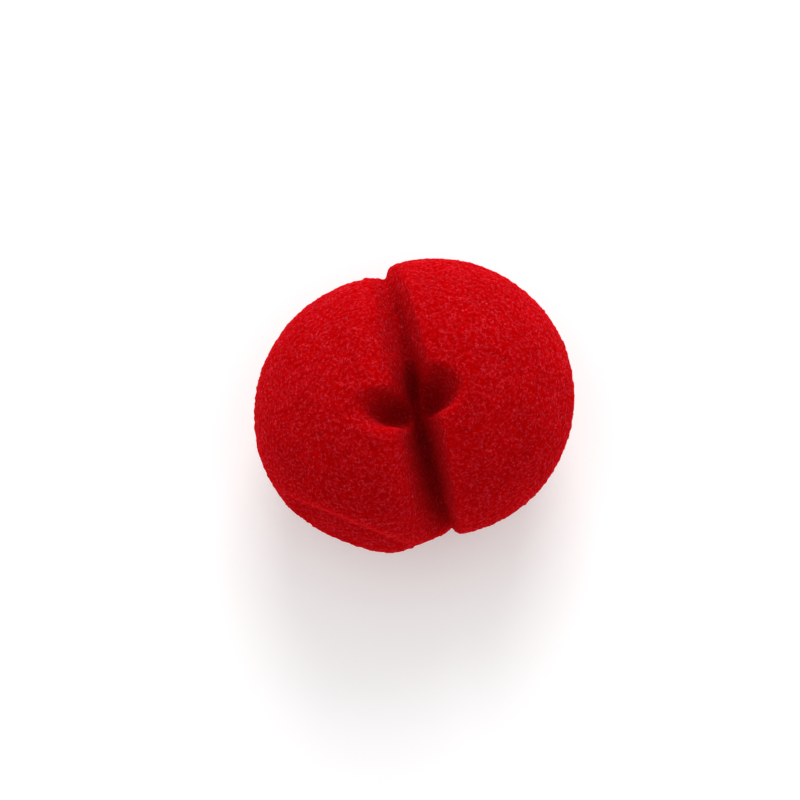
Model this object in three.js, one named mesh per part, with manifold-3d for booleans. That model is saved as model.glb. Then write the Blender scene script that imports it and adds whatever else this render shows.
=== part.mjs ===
// Foam clown nose: one soft ball of open-cell foam, slit from the back so that it opens like a mouth,
// with a round hole in the middle of the slit for the wearer's nose. It lies with its round front down.
//
// Millimetres, +Z up, X across the slit, Y along it. The origin is under the middle of the ball, on the
// small flat that the front settles on.

import * as THREE from 'three';
import { ParametricGeometry } from 'three/addons/geometries/ParametricGeometry.js';
import { mergeVertices } from 'three/addons/utils/BufferGeometryUtils.js';
import Module from 'manifold-3d';

// The ball, whose two halves are drawn apart across the slit and slipped a little along it
const BALL_DIAMETER = 50;
const HALVES_APART = 7.9;
const HALVES_SLIPPED = 1.84;
const FRONT_DEPTH = 23.6;
const REST_FLAT_WIDTH = 6;

// The slit, cut from the back towards the front, with the wedge between its opened walls
const SLIT_OPENING = 6;
const SLIT_PARTED_DEPTH = 6;
const ROOT_WIDTH = 0.5;
const ROOT_ROUNDING = 1.4;

// The slit at its two ends, and all that changes evenly between them: the levels of its root and of where
// it starts to open, the height over which it opens, the roundings of its lips, and how its walls flare
const SLIT_ENDS = {
  near: { root: -9.4, closed: -9.4, opening: 14.4, leftLip: 5, rightLip: 1.4, flare: 1 },
  far: { root: -6.2, closed: -2, opening: 9, leftLip: 5, rightLip: 1.8, flare: 1.2 },
};

// The slit's two lips and its root from end to end: along is a share of the ball's radius, and left,
// right and root are shares of the opening, measured across the slit from the middle
const SLIT_STATIONS = [
  { along: -0.96, left: -0.78, right: 0.65, root: 0.49 },
  { along: -0.48, left: -0.76, right: 0.64, root: 0.17 },
  { along: -0.14, left: -0.56, right: 0.54, root: 0.02 },
  { along: 0.06, left: -0.6, right: 0.5, root: 0.04 },
  { along: 0.56, left: -0.82, right: 0.42, root: -0.02 },
  { along: 0.98, left: -0.65, right: 0.3, root: -0.22 },
];

// How far the root rises between the ends, where the walls lie closed together below it: over the near
// half, over the far half, and on what share of the far half it changes from one to the other
const NEAR_CLOSING = 13;
const FAR_CLOSING = 20.5;
const CLOSING_CHANGE = 0.2;

// How suddenly the opening reaches its full width above the closed stretch, and how suddenly the two
// halves' slip ends at the root
const OPENING_SHARPNESS = 6;
const SLIP_SHARPNESS = 4;

// The most of the slit's depth that the roundings of a lip and of the root may take, and the furthest
// down that an end of the slit may reach, as a share of the front's depth
const LIP_SHARE = 0.4;
const ROOT_SHARE = 0.3;
const LOWEST_END = 0.999;

// The nose hole, a rounded funnel with one half of it in each side of the slit. It leans towards the near
// end as it goes down, and each half is stretched across the slit and squeezed along it
const HOLE_MOUTH_RADIUS = 4.6;
const HOLE_DEEP_RADIUS = 3.4;
const HOLE_FUNNEL_DEPTH = 7;
const HOLE_DEPTH = 17;
const HOLE_BLUNTNESS = 3;
const HOLE_EDGE_SOFTNESS = 0.06;
const HOLE_ALONG = 0.2;
const HOLE_LEAN = 0.12;
const HOLE_STRETCH = {
  left: { across: 1.28, along: 0.8 },
  right: { across: 1.02, along: 0.92 },
};

// The flattened corner of the left half beside the slit's near end: a sloping line through one place.
// Places and softness are shares of the ball's radius
const CORNER = { across: -0.1972, along: -0.996, slope: 0.227, softness: 0.032 };

// The pressed dent in the left half's near edge: a straight crease with a ledge sloping away under it,
// cut by drawing the skin in towards a core. The reach of the crease from the middle of the half, the
// ledge's level there and the core's place are shares of the ball's radius
const DENT_ANGLE = 31.5;
const DENT_LEDGE_SLOPE = 65;
const DENT = { reach: 0.816, ledge: 0.192, softness: 0.03, farthest: 4 };
const DENT_CORE = { left: 0.24, near: 0.08, down: 0.48 };

// Steps of the surface: along each contour from one side of the ball to the other, and around the ball
// from the middle of the back to the middle of the front
const OUTER_STEPS = 17;
const LIP_STEPS = 3;
const WALL_STEPS = 12;
const ROOT_STEPS = 2;
const SWEEP = [
  { upTo: 13, steps: 9 },
  { upTo: 78, steps: 9 },
  { upTo: 122, steps: 10 },
  { upTo: 180, steps: 6 },
];

const FOAM_RED = 0xc80a18;

const BALL_RADIUS = BALL_DIAMETER / 2;
const HALF_APART = HALVES_APART / 2;
const FRONT_SCALE = FRONT_DEPTH / BALL_RADIUS;
const QUARTER_TURN = Math.PI / 2;
const { degToRad, clamp, lerp, smoothstep } = THREE.MathUtils;

// A column of the slit's table as a smooth curve over the place along the slit
function slitCurve(column) {
  const places = SLIT_STATIONS.map((row) => row.along * BALL_RADIUS);
  const values = SLIT_STATIONS.map((row) => row[column] * SLIT_OPENING);
  const curve = new THREE.CubicInterpolant(places, values, 1);
  return (along) => curve.evaluate(clamp(along, places[0], places.at(-1)))[0];
}

const lipAt = { left: slitCurve('left'), right: slitCurve('right') };
const rootAt = slitCurve('root');

// The ball's outline across the slit, by the length of surface from its middle line: two quarter circles
// with a straight stretch between the centres of the halves
function outlineAt(length) {
  const bend = Math.max(0, Math.abs(length) - HALF_APART) / BALL_RADIUS;
  const across = Math.min(Math.abs(length), HALF_APART) + BALL_RADIUS * Math.sin(bend);
  return { across: Math.sign(length) * across, radius: BALL_RADIUS * Math.cos(bend) };
}

function outlineLength(across) {
  const beyond = clamp((Math.abs(across) - HALF_APART) / BALL_RADIUS, 0, 1);
  return Math.sign(across) * (Math.min(Math.abs(across), HALF_APART) + BALL_RADIUS * Math.asin(beyond));
}

const OUTLINE_END = HALF_APART + BALL_RADIUS * QUARTER_TURN;

// A point of the ball's skin, by its length of surface from the middle line and its sweep from the back
function skinPoint(length, sweep) {
  const { across, radius } = outlineAt(length);
  const height = radius * Math.cos(sweep);
  const level = height < 0 ? height * FRONT_SCALE : height;
  return new THREE.Vector3(across, radius * Math.sin(sweep), level);
}

// How far a point is slipped along the slit: the halves slip as wholes where the slit parts them, and the
// slip eases from one to the other at the slit's root and over the front, where they are joined
function slipAt(side, across, sunk, parted) {
  const joined = Math.sin(QUARTER_TURN * clamp(across / HALF_APART, -1, 1));
  return (HALVES_SLIPPED / 2) * lerp(joined, side * (1 - sunk ** SLIP_SHARPNESS), parted);
}

// The half width of the nose hole at a level, and how far it takes a side's wall back at a place along it
function holeRadius(level) {
  const depth = Math.max(0, BALL_RADIUS - level);
  const funnel = (HOLE_MOUTH_RADIUS - HOLE_DEEP_RADIUS) * Math.exp(-depth / HOLE_FUNNEL_DEPTH);
  const closing = Math.sqrt(Math.max(0, 1 - (depth / HOLE_DEPTH) ** HOLE_BLUNTNESS));
  return (HOLE_DEEP_RADIUS + funnel) * closing;
}

function holeReach(side, along, level) {
  const stretch = side < 0 ? HOLE_STRETCH.left : HOLE_STRETCH.right;
  const depth = Math.max(0, BALL_RADIUS - level);
  const offMiddle = (along - HOLE_ALONG + HOLE_LEAN * depth) / stretch.along;
  const radius = holeRadius(level);
  const chord = radius ** 2 - offMiddle ** 2;
  const soft = HOLE_EDGE_SOFTNESS * radius ** 2;
  return stretch.across * Math.sqrt((chord + Math.hypot(chord, soft)) / 2);
}

// Where the slit runs out at an end: the sweep there, and how far along it the root reaches
function slitEnd(end) {
  const sweep = QUARTER_TURN + Math.asin(Math.min(LOWEST_END, -end.root / FRONT_DEPTH));
  return { sweep, reach: BALL_RADIUS * Math.sin(sweep) };
}

const nearEnd = slitEnd(SLIT_ENDS.near);
const farEnd = slitEnd(SLIT_ENDS.far);

// The slit at one sweep around the ball: its middle on the skin, its root, how wide and deep it is there,
// how far it parts the halves, and the values between its two ends
function slitAt(sweep) {
  const end = sweep > 0 ? farEnd : nearEnd;
  const skin = skinPoint(0, sweep);
  const turned = clamp(sweep / end.sweep, -1, 1);
  const rootAlong = end.reach * Math.sin(QUARTER_TURN * turned);
  const toFar = (rootAlong + nearEnd.reach) / (nearEnd.reach + farEnd.reach);
  const between = (name) => lerp(SLIT_ENDS.near[name], SLIT_ENDS.far[name], toFar);
  const closing = lerp(NEAR_CLOSING, FAR_CLOSING, smoothstep(turned, 0, CLOSING_CHANGE));
  const rootLevel = between('root') + closing * (1 - turned ** 2);
  const rise = Math.max(0, skin.z - between('closed')) / between('opening');
  const open = rise / (1 + rise ** OPENING_SHARPNESS) ** (1 / OPENING_SHARPNESS);
  const full = Math.hypot(skin.y - rootAlong, Math.max(0, skin.z - rootLevel));
  const depth = Math.abs(sweep) < end.sweep ? full : 0;
  const parted = smoothstep(depth, 0, SLIT_PARTED_DEPTH);
  const lipRounding = { left: between('leftLip'), right: between('rightLip') };
  return { end, skin, rootAlong, rootLevel, open, depth, parted, lipRounding, flare: between('flare') };
}

// One step of a contour on one side of the slit, from the lip's outer edge (0) down to the root (1):
// how deep it lies, as a share of the slit's depth, and how far it stands off the wall
function slitStep(step, lipRounding, depth) {
  const lipDepth = Math.min(lipRounding, LIP_SHARE * depth);
  const rootDepth = Math.min(ROOT_ROUNDING, ROOT_SHARE * depth);
  const share = (length) => (depth > 0 ? length / depth : 0);
  if (step <= LIP_STEPS) {
    const turn = (QUARTER_TURN * step) / LIP_STEPS;
    const sunk = share(lipDepth * (1 - Math.cos(turn)));
    return { sunk, off: lipRounding * (1 - Math.sin(turn)), narrow: 1 };
  }
  if (step <= LIP_STEPS + WALL_STEPS) {
    const down = (step - LIP_STEPS) / WALL_STEPS;
    return { sunk: share(lerp(lipDepth, depth - rootDepth, down)), off: 0, narrow: 1 };
  }
  const turn = (QUARTER_TURN * (step - LIP_STEPS - WALL_STEPS)) / ROOT_STEPS;
  return { sunk: share(depth - rootDepth * (1 - Math.sin(turn))), off: 0, narrow: Math.cos(turn) };
}

// A point of the slit's side at a sweep, by its step from the lip to the root
function slitPoint(side, step, sweep, slit) {
  const rounding = side < 0 ? slit.lipRounding.left : slit.lipRounding.right;
  const { sunk, off, narrow } = slitStep(step, rounding, slit.depth);
  const along = lerp(slit.skin.y, slit.rootAlong, sunk);
  const level = lerp(slit.skin.z, slit.rootLevel, sunk);
  const root = rootAt(slit.rootAlong);
  const lip = side * ((side < 0 ? lipAt.left : lipAt.right)(slit.skin.y) - rootAt(slit.skin.y));
  const wall = Math.max(0, lip) * slit.open * Math.max(0, 1 - sunk) ** slit.flare + ROOT_WIDTH / 2;
  const reach = slit.depth > 0 ? holeReach(side, along, level) : 0;
  const across = lerp(rootAt(slit.skin.y), root, sunk) + side * ((wall + reach) * narrow + off);
  const point = skinPoint(outlineLength(across), sweep);
  point.y = lerp(point.y, slit.rootAlong, sunk) + slipAt(side, across, sunk, slit.parted);
  point.z = lerp(point.z, slit.rootLevel, sunk);
  return point;
}

// The least of two values, with a rounded corner where they are nearly equal
function softLeast(one, other, softness) {
  const near = Math.max(softness - Math.abs(one - other), 0) / softness;
  return Math.min(one, other) - (near ** 2 * softness) / 4;
}

// Holds a point of the left half back at the flattened corner's line
function flattenCorner(point) {
  const beside = point.x - CORNER.across * BALL_RADIUS;
  const line = CORNER.along * BALL_RADIUS + CORNER.slope * beside;
  point.y = -softLeast(-point.y, -line, CORNER.softness * BALL_RADIUS);
  return point;
}

// Draws a point of the left half in towards the dent's core until it lies on the crease's flat or the
// ledge
function pressDent(point) {
  const core = new THREE.Vector3(-DENT_CORE.left, -DENT_CORE.near, -DENT_CORE.down);
  core.multiplyScalar(BALL_RADIUS);
  const tilt = degToRad(DENT_ANGLE);
  const outward = new THREE.Vector3(-Math.sin(tilt), -Math.cos(tilt), 0);
  const middle = new THREE.Vector3(-HALF_APART, -HALVES_SLIPPED / 2, 0);
  const past = (place) => place.clone().sub(middle).dot(outward) - DENT.reach * BALL_RADIUS;
  const slope = Math.tan(degToRad(DENT_LEDGE_SLOPE));
  const above = (place) => place.z - DENT.ledge * BALL_RADIUS + slope * past(place);
  const cut = (height) => {
    const atCore = height(core);
    const run = height(point) - atCore;
    return run > 0 ? -atCore / run : Infinity;
  };
  const flat = Math.min(cut(past), DENT.farthest);
  const ledge = Math.min(cut(above), DENT.farthest);
  const outermost = -softLeast(-flat, -ledge, DENT.softness);
  const share = softLeast(1, outermost, DENT.softness);
  return point.sub(core).multiplyScalar(share).add(core);
}

// The steps around the ball, as angles from the middle of the back both ways to the middle of the front
function sweepAngles() {
  const half = [0];
  for (const { upTo, steps } of SWEEP) {
    const from = half.at(-1);
    for (let step = 1; step <= steps; step += 1) {
      half.push(lerp(from, degToRad(upTo), step / steps));
    }
  }
  const mirrored = half.slice(1).reverse();
  return [...mirrored.map((angle) => -angle), ...half];
}

const SIDE_STEPS = OUTER_STEPS + LIP_STEPS + WALL_STEPS + ROOT_STEPS;

// A point of the whole surface: steps run across from the left side over the slit to the right side
function surfacePoint(step, sweep) {
  const side = step <= SIDE_STEPS ? -1 : 1;
  const fromEdge = side < 0 ? step : 2 * SIDE_STEPS - step;
  const slit = slitAt(sweep);
  const inSlit = fromEdge - OUTER_STEPS;
  const lipEdge = slitPoint(side, Math.max(0, inSlit), sweep, slit);
  const finish = (point) => pressDent(side < 0 && slit.depth > 0 ? flattenCorner(point) : point);
  if (slit.depth > 0 && inSlit >= 0) {
    return finish(lipEdge);
  }
  const lipLength = outlineLength(lipEdge.x);
  const length = inSlit >= 0 ? lipLength : lerp(side * OUTLINE_END, lipLength, fromEdge / OUTER_STEPS);
  const even = side * OUTLINE_END * (1 - fromEdge / SIDE_STEPS);
  const past = clamp((Math.abs(sweep) - slit.end.sweep) / (Math.PI - slit.end.sweep), 0, 1);
  const point = skinPoint(lerp(length, even, Math.sqrt(past)), sweep);
  point.y += slipAt(side, point.x, 0, slit.parted);
  return finish(point);
}

// The closed skin of the foam, before the flat that it rests on
function foamSkin() {
  const sweeps = sweepAngles();
  const across = 2 * SIDE_STEPS;
  const around = sweeps.length - 1;
  const place = (u, v, target) => {
    target.copy(surfacePoint(Math.round(u * across), sweeps[Math.round(v * around)]));
  };
  const skin = new ParametricGeometry(place, across, around);
  skin.deleteAttribute('normal');
  skin.deleteAttribute('uv');
  return mergeVertices(skin);
}

// A closed mesh as a solid for cutting, without the triangles that collapse where the contours meet
function asSolid(geometry) {
  const corners = Array.from(geometry.index.array);
  const triangles = [];
  for (let at = 0; at < corners.length; at += 3) {
    const [a, b, c] = corners.slice(at, at + 3);
    if (a !== b && b !== c && c !== a) {
      triangles.push(a, b, c);
    }
  }
  const vertProperties = new Float32Array(geometry.attributes.position.array);
  const triVerts = new Uint32Array(triangles);
  return new wasm.Manifold(new wasm.Mesh({ numProp: 3, vertProperties, triVerts }));
}

function asGeometry(solid) {
  const mesh = solid.getMesh();
  const geometry = new THREE.BufferGeometry();
  geometry.setAttribute('position', new THREE.BufferAttribute(mesh.vertProperties, 3));
  geometry.setIndex(new THREE.BufferAttribute(mesh.triVerts, 1));
  geometry.computeVertexNormals();
  return geometry;
}

// The small flat at the front, as wide as REST_FLAT_WIDTH, and the block below it that is cut away
const REST_SINK = (REST_FLAT_WIDTH / 2) ** 2 * (FRONT_DEPTH / (2 * BALL_RADIUS ** 2));
const REST_LEVEL = -(FRONT_DEPTH - REST_SINK);

function foamBall() {
  const side = 4 * BALL_DIAMETER;
  const block = new THREE.BoxGeometry(side, side, side);
  block.translate(0, 0, REST_LEVEL - side / 2);
  block.deleteAttribute('normal');
  block.deleteAttribute('uv');
  const solid = asSolid(foamSkin()).subtract(asSolid(mergeVertices(block)));
  const geometry = asGeometry(solid);
  const foam = new THREE.MeshStandardMaterial({ color: FOAM_RED, roughness: 0.95, metalness: 0 });
  const mesh = new THREE.Mesh(geometry, foam);
  mesh.name = 'foam_ball';
  mesh.position.z = -REST_LEVEL;
  return mesh;
}

const wasm = await Module();
wasm.setup();

const clownNose = new THREE.Group();
clownNose.add(foamBall());

export default clownNose;
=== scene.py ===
"""Foam clown nose: the looks of one slit ball of red open-cell foam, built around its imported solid.

The ball lies with its round front down and its slit back up. X runs across the slit, Y along it and Z up,
in metres, with the origin on the small flat that the front settles on.
"""

import logging
import math
from dataclasses import dataclass, field
from enum import Enum

import bpy
import numpy as np
from mathutils import Matrix, Vector

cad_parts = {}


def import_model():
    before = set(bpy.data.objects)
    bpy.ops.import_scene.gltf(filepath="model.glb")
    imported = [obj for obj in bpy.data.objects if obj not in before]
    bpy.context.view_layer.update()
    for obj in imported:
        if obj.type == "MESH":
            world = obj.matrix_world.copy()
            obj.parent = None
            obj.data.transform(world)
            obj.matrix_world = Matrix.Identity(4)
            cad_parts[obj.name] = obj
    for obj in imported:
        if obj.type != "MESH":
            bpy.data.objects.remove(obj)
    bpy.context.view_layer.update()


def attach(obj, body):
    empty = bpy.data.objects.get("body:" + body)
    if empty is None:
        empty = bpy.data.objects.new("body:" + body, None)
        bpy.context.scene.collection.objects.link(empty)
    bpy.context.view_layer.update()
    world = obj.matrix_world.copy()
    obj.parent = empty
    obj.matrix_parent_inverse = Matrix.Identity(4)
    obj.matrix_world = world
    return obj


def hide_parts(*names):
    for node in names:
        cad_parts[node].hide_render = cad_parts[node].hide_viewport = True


MM = 0.001
QUARTER_TURN = math.pi / 2
TINY = 1e-9

log = logging.getLogger("clown_nose")


class Side(Enum):
    """The two sides of the slit, by the sign of their place across it."""

    LEFT = -1
    RIGHT = 1


@dataclass(frozen=True)
class SlitStation:
    """Where the slit's lips and its root are at one place along it, as shares of named sizes."""

    along: float
    left: float
    right: float
    root: float


SLIT_STATIONS = (
    SlitStation(along=-0.96, left=-0.78, right=0.65, root=0.49),
    SlitStation(along=-0.48, left=-0.76, right=0.64, root=0.17),
    SlitStation(along=-0.14, left=-0.56, right=0.54, root=0.02),
    SlitStation(along=0.06, left=-0.6, right=0.5, root=0.04),
    SlitStation(along=0.56, left=-0.82, right=0.42, root=-0.02),
    SlitStation(along=0.98, left=-0.6, right=0.26, root=-0.2),
)


def smooth_curve(places: np.ndarray, values: np.ndarray, at: np.ndarray) -> np.ndarray:
    """A smooth curve through a few points: a cubic between each two, whose slope at a point is the mean of
    the slopes of the straight lines on its two sides.

    Args:
        places: where the points are, rising.
        values: the curve's value at each.
        at: where the curve is wanted; past the ends it keeps the end's value.

    Returns:
        The curve's values, in the form of at.
    """
    at = np.clip(at, places[0], places[-1])
    runs = np.diff(places)
    lines = np.diff(values) / runs
    slopes = np.concatenate([lines[:1], (lines[:-1] + lines[1:]) / 2, lines[-1:]])
    k = np.clip(np.searchsorted(places, at, side="right") - 1, 0, len(runs) - 1)
    run = runs[k]
    t = (at - places[k]) / run
    start = (1 + 2 * t) * (1 - t) ** 2 * values[k] + t * (1 - t) ** 2 * run * slopes[k]
    return start + t**2 * (3 - 2 * t) * values[k + 1] + t**2 * (t - 1) * run * slopes[k + 1]


def blend(low: np.ndarray, high: np.ndarray, share: np.ndarray) -> np.ndarray:
    """A straight mix of two values: low at share 0, high at share 1."""
    return low + (high - low) * share


def soft_least(one: np.ndarray, other: np.ndarray, softness: float) -> np.ndarray:
    """The lesser of two values, less a quarter of softness at most where they are nearly equal."""
    near = np.maximum(softness - np.abs(one - other), 0) / softness
    return np.minimum(one, other) - near**2 * softness / 4


@dataclass(frozen=True)
class Dent:
    """The pressed dent in the left half's near edge: a straight crease over a ledge that slopes away."""

    angle: float = math.radians(31.5)
    reach: float = 20.4 * MM
    ledge_level: float = 4.8 * MM
    ledge_slope: float = math.radians(65)
    softness: float = 0.03
    core: tuple[float, float, float] = (-6 * MM, -2 * MM, -12 * MM)
    farthest: float = 4.0

    def press(self, points: np.ndarray, middle: np.ndarray) -> np.ndarray:
        """Draws points in towards the dent's core until they lie on the crease's flat or on the ledge.

        A point keeps its direction from the core. Its distance is the least of its own and the greater of
        the distances to the flat and to the ledge, with both corners rounded.

        Args:
            points: the surface's points, in the ball's own frame.
            middle: the middle of the half that is pressed.

        Returns:
            The moved points.
        """
        core = np.array(self.core)
        outward = np.array([-math.sin(self.angle), -math.cos(self.angle), 0.0])
        slope = math.tan(self.ledge_slope)

        def past(place: np.ndarray) -> np.ndarray:
            return (place - middle) @ outward - self.reach

        def above(place: np.ndarray) -> np.ndarray:
            return place[..., 2] - self.ledge_level + slope * past(place)

        def cut(height: np.ndarray, height_at_core: float) -> np.ndarray:
            run = height - height_at_core
            share = np.where(run > 0, -height_at_core / np.maximum(run, TINY), self.farthest)
            return share.clip(0, self.farthest)

        flat = cut(past(points), past(core))
        ledge = cut(above(points), above(core))
        outermost = -soft_least(-flat, -ledge, self.softness)
        share = soft_least(np.ones_like(outermost), outermost, self.softness)
        return core + (points - core) * share[..., None]


@dataclass(frozen=True)
class SlitEnd:
    """Where the slit runs out through the ball's skin, and how it opens there."""

    root_level: float
    closed_level: float
    opening_height: float
    left_lip_rounding: float
    right_lip_rounding: float
    flare: float


@dataclass(frozen=True)
class HoleHalf:
    """One half's share of the nose hole, as it is stretched across and squeezed along."""

    across: float
    along: float


@dataclass(frozen=True)
class NoseForm:
    """The form of the slit ball: a surface over steps across it and the sweep around it."""

    radius: float = 25 * MM
    halves_apart: float = 7.9 * MM
    halves_slipped: float = 1.84 * MM
    front_depth: float = 23.6 * MM
    rest_flat_width: float = 6 * MM
    slit_opening: float = 6 * MM
    near_end: SlitEnd = SlitEnd(-9.4 * MM, -9.4 * MM, 14.4 * MM, 5 * MM, 1.4 * MM, 1.0)
    far_end: SlitEnd = SlitEnd(-5.4 * MM, -2.4 * MM, 9 * MM, 1.4 * MM, 0.9 * MM, 1.2)
    slit_parted_depth: float = 1.6 * MM
    near_closing: float = 13 * MM
    far_closing: float = 21 * MM
    closing_change: float = 0.2
    root_width: float = 0.5 * MM
    root_rounding: float = 1.4 * MM
    hole_mouth_radius: float = 4.6 * MM
    hole_deep_radius: float = 3.4 * MM
    hole_funnel_depth: float = 7 * MM
    hole_depth: float = 17 * MM
    hole_edge_softness: float = 0.06
    hole_along: float = 0.2 * MM
    hole_lean: float = 0.12
    hole_left: HoleHalf = HoleHalf(across=1.28, along=0.8)
    hole_right: HoleHalf = HoleHalf(across=1.02, along=0.92)
    cut_corner: tuple[float, float] = (-4.93 * MM, -24.9 * MM)
    cut_slope: float = 0.227
    cut_softness: float = 0.8 * MM
    dent: Dent = field(default_factory=Dent)
    lip_share: float = 0.4
    root_share: float = 0.3
    opening_sharpness: int = 6
    slip_sharpness: int = 4
    hole_bluntness: int = 3
    outer_steps: int = 110
    lip_steps: int = 12
    wall_steps: int = 110
    root_steps: int = 6
    sweeps: int = 560

    @property
    def half_apart(self) -> float:
        """How far each half's middle stands from the middle of the slit."""
        return self.halves_apart / 2

    def end_sweep(self, end: SlitEnd) -> float:
        """The sweep from the middle of the back to where the slit runs out at an end."""
        return QUARTER_TURN + math.asin(-end.root_level / self.front_depth)

    def end_reach(self, end: SlitEnd) -> float:
        """How far along it the slit's root reaches at an end."""
        return self.radius * math.sin(self.end_sweep(end))

    @property
    def outline_end(self) -> float:
        """The length of skin from the middle line to the ball's outermost point."""
        return self.half_apart + self.radius * QUARTER_TURN

    @property
    def rest_level(self) -> float:
        """The level of the flat that the ball rests on, under its middle."""
        sink = (self.rest_flat_width / 2) ** 2 * self.front_depth / (2 * self.radius**2)
        return -(self.front_depth - sink)

    def station_curve(self, column: str, along: np.ndarray) -> np.ndarray:
        """One column of the stations' table, as a place across the slit.

        Args:
            column: left, right or root.
            along: places along the slit.

        Returns:
            The place across the slit at each.
        """
        places = np.array([row.along * self.radius for row in SLIT_STATIONS])
        values = np.array([getattr(row, column) * self.slit_opening for row in SLIT_STATIONS])
        return smooth_curve(places, values, along)

    def outline_length(self, across: np.ndarray) -> np.ndarray:
        """The length of skin from the middle line to a place across: straight up to the half's middle, then
        an arc of the ball's radius."""
        beyond = np.clip((np.abs(across) - self.half_apart) / self.radius, 0, 1)
        straight = np.minimum(np.abs(across), self.half_apart)
        return np.sign(across) * (straight + self.radius * np.arcsin(beyond))

    def skin(self, length: np.ndarray, sweep: np.ndarray) -> np.ndarray:
        """Points of the ball's skin: two quarter circles with a straight stretch between them, swept around
        the X axis and a little shallower at the front.

        Args:
            length: the length of skin from the middle line.
            sweep: the angle from the middle of the back.

        Returns:
            The points, in the ball's own frame.
        """
        bend = np.maximum(0, np.abs(length) - self.half_apart) / self.radius
        across = np.sign(length) * (np.minimum(np.abs(length), self.half_apart) + self.radius * np.sin(bend))
        ring = self.radius * np.cos(bend)
        height = ring * np.cos(sweep)
        level = np.where(height < 0, height * self.front_depth / self.radius, height)
        return np.stack([across, ring * np.sin(sweep), level], axis=-1)

    def slip(self, side: np.ndarray, across: np.ndarray, sunk: np.ndarray, parted: np.ndarray) -> np.ndarray:
        """How far points are slipped along the slit: each half as a whole where the slit parts them, and
        easing from one to the other, as a quarter sine, where they are joined."""
        joined = np.sin(QUARTER_TURN * np.clip(across / self.half_apart, -1, 1))
        return self.halves_slipped / 2 * blend(joined, side * (1 - sunk**self.slip_sharpness), parted)

    def hole_reach(self, half: HoleHalf, along: np.ndarray, level: np.ndarray) -> np.ndarray:
        """How far the nose hole takes a wall back: the half chord of an oval hole, softened at its edges.

        The hole's radius falls from the mouth's to the deep one as a decaying exponential of the depth,
        and closes at the bottom as the root of one less the cube of the depth's share. Its middle leans
        towards the near end as it goes down.
        """
        depth = np.maximum(0, self.radius - level)
        funnel = (self.hole_mouth_radius - self.hole_deep_radius) * np.exp(-depth / self.hole_funnel_depth)
        closing = np.sqrt(np.maximum(0, 1 - (depth / self.hole_depth) ** self.hole_bluntness))
        radius = (self.hole_deep_radius + funnel) * closing
        off_middle = (along - self.hole_along + self.hole_lean * depth) / half.along
        chord = radius**2 - off_middle**2
        return half.across * np.sqrt((chord + np.hypot(chord, self.hole_edge_softness * radius**2)) / 2)

    def side_steps(
        self, lip_rounding: np.ndarray, depth: np.ndarray
    ) -> tuple[np.ndarray, np.ndarray, np.ndarray]:
        """The steps of a contour down one side of the slit, from the lip's outer edge to the root.

        A quarter ellipse rounds the lip, a straight stretch follows the wall, and a quarter ellipse rounds
        the root.

        Args:
            lip_rounding: the lip's rounding at each sweep, as a column.
            depth: the slit's depth at each sweep, as a column.

        Returns:
            How deep each step is as a share of the depth, how far it stands off the wall, and how much of
            the slit's half width is left there.
        """
        lip_depth = np.minimum(lip_rounding, self.lip_share * depth)
        root_depth = np.minimum(self.root_rounding, self.root_share * depth)
        over = QUARTER_TURN * np.arange(self.lip_steps + 1)[None] / self.lip_steps
        down = np.arange(1, self.wall_steps + 1)[None] / self.wall_steps
        under = QUARTER_TURN * np.arange(1, self.root_steps + 1)[None] / self.root_steps
        sunk = np.concatenate(
            [
                lip_depth * (1 - np.cos(over)),
                blend(lip_depth, depth - root_depth, down),
                depth - root_depth * (1 - np.sin(under)),
            ],
            axis=1,
        )
        flat = 0 * depth
        off = np.concatenate([lip_rounding * (1 - np.sin(over)), flat + 0 * down, flat + 0 * under], axis=1)
        narrow = np.concatenate([flat + 1 + 0 * over, flat + 1 + 0 * down, flat + np.cos(under)], axis=1)
        share = np.where(depth > 0, sunk / np.maximum(depth, TINY), 0)
        return share, off, narrow

    def half_surface(self, side: Side, sweep: np.ndarray) -> np.ndarray:
        """One half of the surface, from its outermost point over the lip and down to the slit's root.

        Args:
            side: which half.
            sweep: the sweeps around the ball, as a column.

        Returns:
            Points in rows of one contour each, in the ball's own frame.
        """
        sign = side.value
        middle = self.skin(0 * sweep, sweep)
        near, far = self.near_end, self.far_end
        near_reach, far_reach = self.end_reach(near), self.end_reach(far)
        end_sweep = np.where(sweep > 0, self.end_sweep(far), self.end_sweep(near))
        turned = np.clip(sweep / end_sweep, -1, 1)
        root_along = np.where(sweep > 0, far_reach, near_reach) * np.sin(QUARTER_TURN * turned)
        to_far = (root_along + near_reach) / (near_reach + far_reach)
        towards_far = np.clip(turned / self.closing_change, 0, 1)
        towards_far = towards_far**2 * (3 - 2 * towards_far)
        closed_rise = blend(self.near_closing, self.far_closing, towards_far) * (1 - turned**2)
        root_level = blend(near.root_level, far.root_level, to_far) + closed_rise
        rise = np.maximum(0, middle[..., 2] - root_level)
        over_closed = np.maximum(0, middle[..., 2] - blend(near.closed_level, far.closed_level, to_far))
        height = over_closed / blend(near.opening_height, far.opening_height, to_far)
        sharpness = self.opening_sharpness
        opened = height / (1 + height**sharpness) ** (1 / sharpness)
        in_slit = np.abs(sweep) < end_sweep
        depth = np.where(in_slit, np.hypot(middle[..., 1] - root_along, rise), 0)
        eased = np.clip(depth / self.slit_parted_depth, 0, 1)
        parted = eased**2 * (3 - 2 * eased)

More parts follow.
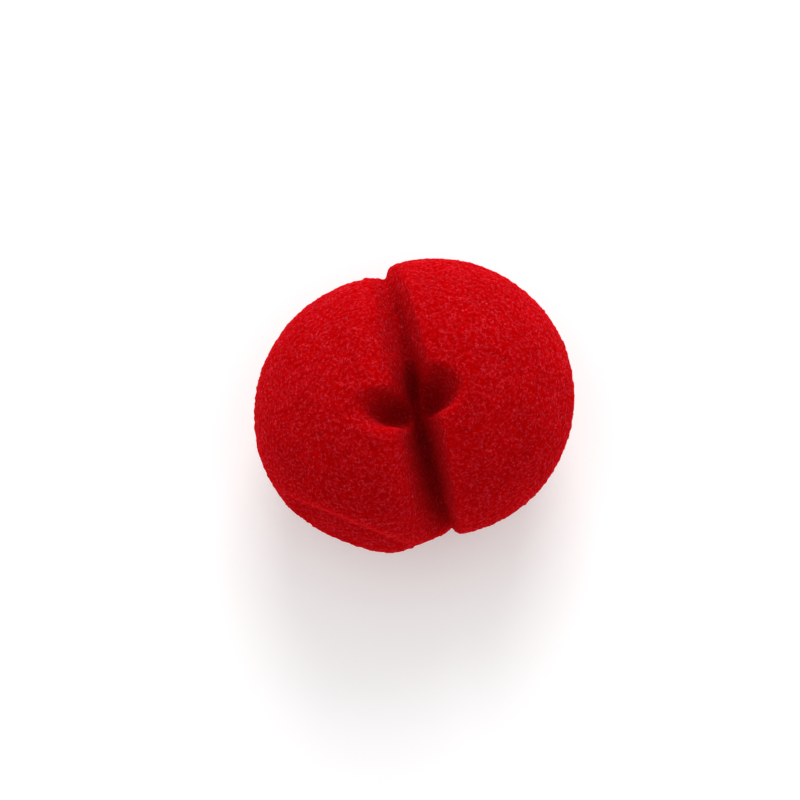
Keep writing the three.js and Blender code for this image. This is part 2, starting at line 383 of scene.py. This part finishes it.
        if side is Side.LEFT:
            rounding = blend(near.left_lip_rounding, far.left_lip_rounding, to_far)
        else:
            rounding = blend(near.right_lip_rounding, far.right_lip_rounding, to_far)
        sunk, off, narrow = self.side_steps(rounding, depth)
        along = blend(middle[..., 1], root_along, sunk)
        level = blend(middle[..., 2], root_level, sunk)
        root_above = self.station_curve("root", middle[..., 1])
        column = "left" if side is Side.LEFT else "right"
        lip = np.maximum(0, sign * (self.station_curve(column, middle[..., 1]) - root_above))
        wall = lip * opened * (1 - sunk) ** blend(near.flare, far.flare, to_far) + self.root_width / 2
        hole = self.hole_left if side is Side.LEFT else self.hole_right
        reach = np.where(depth > 0, self.hole_reach(hole, along, level), 0)
        line = blend(root_above, self.station_curve("root", root_along), sunk)
        across = line + sign * ((wall + reach) * narrow + off)
        inner = self.skin(self.outline_length(across), sweep)
        inner[..., 1] = blend(inner[..., 1], root_along, sunk) + self.slip(sign, across, sunk, parted)
        inner[..., 2] = blend(inner[..., 2], root_level, sunk)

        steps = self.outer_steps + across.shape[1] - 1
        lip_length = self.outline_length(across)
        end = sign * self.outline_end
        outer_length = blend(end, lip_length[:, :1], np.arange(self.outer_steps)[None] / self.outer_steps)
        length = np.concatenate([outer_length, lip_length], axis=1)
        even = end * (1 - np.arange(steps + 1)[None] / steps)
        past = np.clip((np.abs(sweep) - end_sweep) / (math.pi - end_sweep), 0, 1)
        outer = self.skin(blend(length, even, np.sqrt(past)), sweep)
        outer[..., 1] += self.slip(sign, outer[..., 0], 0 * outer[..., 0], parted)
        outer[:, self.outer_steps :] = np.where(in_slit[..., None], inner, outer[:, self.outer_steps :])
        if side is Side.LEFT:
            cut = self.cut_corner[1] + self.cut_slope * (outer[..., 0] - self.cut_corner[0])
            flattened = -soft_least(-outer[..., 1], -cut, self.cut_softness)
            outer[..., 1] = np.where(in_slit, flattened, outer[..., 1])
        return outer

    def grid(self) -> np.ndarray:
        """The whole surface as contours from the left side over the slit to the right side.

        Returns:
            Points in rows of one contour each, standing on the origin.
        """
        sweep = np.linspace(-math.pi, math.pi, self.sweeps, endpoint=False)[:, None]
        left = self.half_surface(Side.LEFT, sweep)
        right = self.half_surface(Side.RIGHT, sweep)
        points = np.concatenate([left, right[:, -2::-1]], axis=1)
        points = self.dent.press(points, np.array([-self.half_apart, -self.halves_slipped / 2, 0.0]))
        points[..., 2] = np.maximum(points[..., 2], self.rest_level) - self.rest_level
        return points


def closed_mesh(name: str, grid: np.ndarray) -> bpy.types.Mesh:
    """A closed mesh over a grid of contours that all start and all end in one point.

    Args:
        name: the mesh's name.
        grid: points in rows of one contour each; the rows run around and meet again.

    Returns:
        The mesh, with its faces pointing out.
    """
    rows, columns = grid.shape[:2]
    inner = grid[:, 1:-1].reshape(-1, 3)
    points = np.concatenate([inner, grid[0, :1], grid[0, -1:]])
    first, last = len(inner), len(inner) + 1
    at = np.arange(rows)[:, None] * (columns - 2) + np.arange(columns - 2)[None]
    after = np.roll(at, -1, axis=0)
    quads = np.stack([at[:, :-1], at[:, 1:], after[:, 1:], after[:, :-1]], axis=-1).reshape(-1, 4)
    start = np.stack([np.full(rows, first), at[:, 0], after[:, 0]], axis=-1)
    finish = np.stack([at[:, -1], np.full(rows, last), after[:, -1]], axis=-1)
    mesh = bpy.data.meshes.new(name)
    mesh.from_pydata(points.tolist(), [], quads.tolist() + start.tolist() + finish.tolist())
    mesh.update()
    return mesh


@dataclass(frozen=True)
class Grain:
    """One layer of the foam's lumps: a smooth random field over space."""

    size: float
    height: float
    seed: int
    lattice_count: int = 64

    def at(self, points: np.ndarray) -> np.ndarray:
        """The field's value at points: random values on a cubic lattice of the grain's size, mixed between
        the eight corners around a point with the weights of a smooth step.

        Args:
            points: where the field is wanted.

        Returns:
            Values with a mean of nought and a spread of the grain's height.
        """
        count = self.lattice_count
        lattice = np.random.default_rng(self.seed).standard_normal((count, count, count))
        place = points / self.size + count / 2
        cell = np.floor(place).astype(int)
        t = place - cell
        t = t * t * (3 - 2 * t)
        value = np.zeros(len(points))
        for corner in np.ndindex(2, 2, 2):
            weight = np.prod(np.where(np.array(corner), t, 1 - t), axis=1)
            index = (cell + corner) % count
            value += weight * lattice[index[:, 0], index[:, 1], index[:, 2]]
        return value * self.height


@dataclass(frozen=True)
class FoamFinish:
    """Red open-cell foam: a matte ground of tiny pores, crossed by the struts between its cells. The struts'
    lighter, pinker colour is partly their own and partly a painted highlight, and a few cells carry painted
    glints."""

    slot: str = "foam"
    pore_colour: tuple[float, float, float] = (0.385, 0.0001, 0.0005)
    # The struts' colour: partly the foam's own pinker red and partly a painted highlight.
    strut_and_highlight_colour: tuple[float, float, float] = (0.57, 0.018, 0.032)
    # Painted glints: the colour of a few bright pink dots that stand for highlights.
    painted_glint_colour: tuple[float, float, float] = (0.66, 0.04, 0.062)
    cell_size: float = 0.62 * MM
    strut_width: float = 0.15
    grain_size: float = 0.55 * MM
    patch_size: float = 7 * MM
    bump_depth: float = 0.2 * MM
    bump_strength: float = 0.7
    # The grain's range over which the struts are painted lighter, as a painted highlight on some of them.
    highlit_strut_grain: tuple[float, float] = (0.47, 0.7)
    blotch_grain: tuple[float, float] = (0.4, 0.8)
    blotch_share: float = 0.3
    # Which random cells get a painted glint, and how far the painted glint reaches from each cell's point.
    painted_glint_pick: tuple[float, float] = (0.88, 1.08)
    painted_glint_reach: tuple[float, float] = (0.5, 0.1)
    patch_noise: tuple[float, float] = (0.3, 0.7)
    patch_tone: tuple[float, float] = (0.94, 1.06)
    noise_detail: float = 2.0
    roughness: float = 0.95
    sheen: float = 0.02
    sheen_roughness: float = 0.35
    sheen_tint: tuple[float, float, float] = (1.0, 0.2, 0.25)
    glow_through: float = 0.7
    glow_reach: float = 5 * MM
    glow_colour: tuple[float, float, float] = (1.0, 0.12, 0.12)

    def material(self) -> bpy.types.Material:
        """The finish as a procedural material on Object coordinates."""
        material = bpy.data.materials.new("red_foam")
        material.use_nodes = True
        nodes, links = material.node_tree.nodes, material.node_tree.links
        shader = nodes["Principled BSDF"]
        place = nodes.new("ShaderNodeTexCoord").outputs["Object"]

        def noise(size: float, detail: float) -> bpy.types.NodeSocket:
            """Smooth noise of a grain size, as its factor socket."""
            node = nodes.new("ShaderNodeTexNoise")
            node.inputs["Scale"].default_value = 1 / size
            node.inputs["Detail"].default_value = detail
            links.new(place, node.inputs["Vector"])
            return node.outputs["Fac"]

        def voronoi(feature: str, size: float) -> bpy.types.Node:
            """Cells of a size, by one of Blender's named features."""
            node = nodes.new("ShaderNodeTexVoronoi")
            node.feature = feature
            node.inputs["Scale"].default_value = 1 / size
            links.new(place, node.inputs["Vector"])
            return node

        def ramp(
            value: bpy.types.NodeSocket, start: float, end: float, low: float = 0, high: float = 1
        ) -> bpy.types.NodeSocket:
            """The value mapped from start and end to low and high, and held there beyond."""
            node = nodes.new("ShaderNodeMapRange")
            node.inputs["From Min"].default_value = start
            node.inputs["From Max"].default_value = end
            node.inputs["To Min"].default_value = low
            node.inputs["To Max"].default_value = high
            links.new(value, node.inputs["Value"])
            return node.outputs["Result"]

        def combine(
            operation: str, one: bpy.types.NodeSocket, other: bpy.types.NodeSocket
        ) -> bpy.types.NodeSocket:
            """One and other put together by a named operation."""
            node = nodes.new("ShaderNodeMath")
            node.operation = operation
            links.new(one, node.inputs[0])
            links.new(other, node.inputs[1])
            return node.outputs["Value"]

        def mix(
            share: bpy.types.NodeSocket, low: bpy.types.NodeSocket | tuple, high: tuple
        ) -> bpy.types.NodeSocket:
            """A mix of two colours, the first of which may come from another node."""
            node = nodes.new("ShaderNodeMix")
            node.data_type = "RGBA"
            if isinstance(low, tuple):
                node.inputs[6].default_value = (*low, 1)
            else:
                links.new(low, node.inputs[6])
            node.inputs[7].default_value = (*high, 1)
            links.new(share, node.inputs[0])
            return node.outputs[2]

        edges = voronoi("DISTANCE_TO_EDGE", self.cell_size)
        struts = ramp(edges.outputs["Distance"], self.strut_width, 0.0)
        grain = noise(self.grain_size, self.noise_detail)
        # Painted highlight: the struts are painted lighter where the grain is high, partly their own colour
        # and partly standing for light they catch.
        struts_with_painted_highlight = combine("MULTIPLY", struts, ramp(grain, *self.highlit_strut_grain))
        blotches = ramp(grain, *self.blotch_grain, 0.0, self.blotch_share)
        tone = combine("ADD", struts_with_painted_highlight, blotches)
        colour = mix(tone, self.pore_colour, self.strut_and_highlight_colour)

        # Painted glints: a few random cells get a bright pink dot painted into the base colour, in place of
        # highlights.
        painted_glint_cells = voronoi("F1", self.cell_size)
        painted_glint_random = nodes.new("ShaderNodeSeparateColor")
        links.new(painted_glint_cells.outputs["Color"], painted_glint_random.inputs["Color"])
        painted_glint_chosen = ramp(painted_glint_random.outputs["Red"], *self.painted_glint_pick)
        painted_glint = combine("MULTIPLY", painted_glint_chosen, ramp(painted_glint_cells.outputs["Distance"], *self.painted_glint_reach))
        colour = mix(painted_glint, colour, self.painted_glint_colour)

        shade = nodes.new("ShaderNodeVectorMath")
        shade.operation = "SCALE"
        links.new(colour, shade.inputs[0])
        patches = ramp(noise(self.patch_size, self.noise_detail), *self.patch_noise, *self.patch_tone)
        links.new(patches, shade.inputs["Scale"])
        links.new(shade.outputs["Vector"], shader.inputs["Base Color"])

        bump = nodes.new("ShaderNodeBump")
        bump.inputs["Strength"].default_value = self.bump_strength
        bump.inputs["Distance"].default_value = self.bump_depth
        links.new(tone, bump.inputs["Height"])
        links.new(bump.outputs["Normal"], shader.inputs["Normal"])

        shader.inputs["Roughness"].default_value = self.roughness
        shader.inputs["Specular IOR Level"].default_value = 0.0
        shader.inputs["Sheen Weight"].default_value = self.sheen
        shader.inputs["Sheen Roughness"].default_value = self.sheen_roughness
        shader.inputs["Subsurface Weight"].default_value = self.glow_through
        shader.inputs["Subsurface Scale"].default_value = self.glow_reach
        shader.inputs["Subsurface Radius"].default_value = self.glow_colour
        shader.inputs["Sheen Tint"].default_value = (*self.sheen_tint, 1)
        return material


@dataclass
class FoamBall:
    """The nose itself: the slit ball's form, roughened with the lumps of its cells."""

    form: NoseForm = field(default_factory=NoseForm)
    finish: FoamFinish = field(default_factory=FoamFinish)
    face_size: float = 0.4 * MM
    quick_face_size: float = 0.8 * MM
    grains: tuple[Grain, ...] = (
        Grain(size=0.45 * MM, height=0.07 * MM, seed=11),
        Grain(size=0.8 * MM, height=0.09 * MM, seed=12),
        Grain(size=6 * MM, height=0.06 * MM, seed=13),
    )

    def even_mesh(self) -> bpy.types.Mesh:
        """The form as a mesh of even small faces, by a voxel remesh of its grid."""
        mesh = closed_mesh("foam_form", self.form.grid())
        source = bpy.data.objects.new("foam_form", mesh)
        bpy.context.scene.collection.objects.link(source)
        remesh = source.modifiers.new("even_faces", "REMESH")
        remesh.mode = "VOXEL"
        remesh.voxel_size = self.face_size
        remesh.adaptivity = 0
        evaluated = source.evaluated_get(bpy.context.evaluated_depsgraph_get())
        even = bpy.data.meshes.new_from_object(evaluated)
        bpy.data.objects.remove(source)
        bpy.data.meshes.remove(mesh)
        even.name = "foam_skin"
        return even

    def roughen(self, mesh: bpy.types.Mesh) -> None:
        """Moves each vertex along its normal by the sum of the grains, and keeps none below the flat it rests
        on.
        """
        count = len(mesh.vertices)
        points = np.empty(count * 3)
        normals = np.empty(count * 3)
        mesh.vertices.foreach_get("co", points)
        mesh.vertices.foreach_get("normal", normals)
        points = points.reshape(-1, 3)
        height = sum(grain.at(points) for grain in self.grains)
        points += normals.reshape(-1, 3) * height[:, None]
        points[:, 2] = np.maximum(points[:, 2], 0)
        mesh.vertices.foreach_set("co", points.ravel())
        mesh.update()

    def build(self) -> bpy.types.Object:
        """The foam's piece, smooth-shaded and dressed, in place of its solid."""
        mesh = self.even_mesh()
        self.roughen(mesh)
        mesh.shade_smooth()
        mesh.materials.clear()
        mesh.materials.append(self.finish.material())
        piece = bpy.data.objects.new("foam_skin", mesh)
        bpy.context.scene.collection.objects.link(piece)
        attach(piece, "root")
        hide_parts("foam_ball")
        return piece


@dataclass(frozen=True)
class SoftBox:
    """A square soft light that looks at the nose."""

    name: str
    place: tuple[float, float, float]
    size: float
    power: float
    colour: tuple[float, float, float] = (1.0, 1.0, 1.0)

    def build(self, target: Vector) -> bpy.types.Object:
        """The lamp, turned to the target."""
        lamp = bpy.data.lights.new(self.name, "AREA")
        lamp.shape = "SQUARE"
        lamp.size = self.size
        lamp.energy = self.power
        lamp.color = self.colour
        piece = bpy.data.objects.new(self.name, lamp)
        piece.location = Vector(self.place)
        piece.rotation_euler = (target - piece.location).to_track_quat("-Z", "Y").to_euler()
        bpy.context.scene.collection.objects.link(piece)
        return piece


@dataclass(frozen=True)
class Studio:
    """The plain pale floor, the soft lights and the camera at the photograph's angle."""

    middle_level: float = 23.4 * MM
    floor_size: float = 40.0
    floor_colour: tuple[float, float, float] = (0.95, 0.95, 0.95)
    floor_roughness: float = 0.9
    floor_shine: float = 0.1
    floor_glow: float = 0.1
    room_colour: tuple[float, float, float] = (1.0, 1.0, 1.0)
    bright_side: tuple[float, float, float] = (0.15, 0.98, 0.0)
    near_strength: float = 0.56
    far_strength: float = 1.15
    camera_elevation: float = math.radians(86)
    camera_azimuth: float = math.radians(9.7)
    camera_distance: float = 0.35
    lens: float = 87.4
    sensor_width: float = 36.0
    nearest_seen: float = 10 * MM
    aim_right: float = -2.55 * MM
    aim_up: float = 1.17 * MM
    lights: tuple[SoftBox, ...] = (
        SoftBox("key_light", place=(0.2, 0.8, 0.7), size=0.5, power=5.0),
    )

    def floor(self) -> None:
        """The floor that the nose rests on, as a stage piece."""
        half = self.floor_size / 2
        mesh = bpy.data.meshes.new("floor")
        corners = [(-half, -half, 0), (half, -half, 0), (half, half, 0), (-half, half, 0)]
        mesh.from_pydata(corners, [], [(0, 1, 2, 3)])
        material = bpy.data.materials.new("pale_floor")
        material.use_nodes = True
        shader = material.node_tree.nodes["Principled BSDF"]
        shader.inputs["Base Color"].default_value = (*self.floor_colour, 1)
        shader.inputs["Roughness"].default_value = self.floor_roughness
        shader.inputs["Specular IOR Level"].default_value = self.floor_shine
        shader.inputs["Emission Color"].default_value = (1.0, 1.0, 1.0, 1)
        shader.inputs["Emission Strength"].default_value = self.floor_glow
        mesh.materials.append(material)
        piece = bpy.data.objects.new("floor", mesh)
        bpy.context.scene.collection.objects.link(piece)

    def room(self) -> None:
        """The white room around, as a soft world light that is brighter on the far side."""
        scene = bpy.context.scene
        world = bpy.data.worlds.new("white_room")
        world.use_nodes = True
        nodes, links = world.node_tree.nodes, world.node_tree.links
        background = nodes["Background"]
        direction = nodes.new("ShaderNodeVectorMath")
        direction.operation = "DOT_PRODUCT"
        direction.inputs[1].default_value = self.bright_side
        links.new(nodes.new("ShaderNodeTexCoord").outputs["Generated"], direction.inputs[0])
        across_room = nodes.new("ShaderNodeMapRange")
        across_room.inputs["From Min"].default_value = -1.0
        across_room.inputs["From Max"].default_value = 1.0
        across_room.inputs["To Min"].default_value = self.near_strength
        across_room.inputs["To Max"].default_value = self.far_strength
        links.new(direction.outputs["Value"], across_room.inputs["Value"])
        background.inputs["Color"].default_value = (*self.room_colour, 1)
        links.new(across_room.outputs["Result"], background.inputs["Strength"])
        scene.world = world
        scene.view_settings.view_transform = "Standard"

    def camera(self) -> None:
        """The camera, above the nose and a little to the near side, turned so that the slit leans left."""
        turn, rise = self.camera_azimuth, self.camera_elevation
        heading = Vector((math.sin(turn), math.cos(turn), 0))
        right = Vector((math.cos(turn), -math.sin(turn), 0))
        forward = heading * math.cos(rise) - Vector((0, 0, math.sin(rise)))
        up = right.cross(forward)
        aim = Vector((0, 0, self.middle_level)) + right * self.aim_right + up * self.aim_up
        data = bpy.data.cameras.new("camera")
        data.sensor_width = self.sensor_width
        data.lens = self.lens
        data.clip_start = self.nearest_seen
        camera = bpy.data.objects.new("camera", data)
        place = aim - forward * self.camera_distance
        axes = Matrix((right, up, -forward)).transposed().to_4x4()
        camera.matrix_world = Matrix.Translation(place) @ axes
        bpy.context.scene.collection.objects.link(camera)
        bpy.context.scene.camera = camera

    def build(self) -> None:
        """Everything that isn't the nose."""
        self.camera()
        self.floor()
        self.room()
        for light in self.lights:
            light.build(Vector((0, 0, self.middle_level)))


def corners(bounds: tuple) -> list:
    """A box's two corners as plain lists of numbers."""
    return [[float(value) for value in corner] for corner in bounds]


def main() -> None:
    """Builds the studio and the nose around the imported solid."""
    logging.basicConfig(level=logging.INFO, format="%(name)s: %(message)s")
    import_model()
    Studio().build()
    ball = FoamBall().build()
    log.info("%s has %d faces", ball.name, len(ball.data.polygons))


if __name__ == "__main__":
    main()
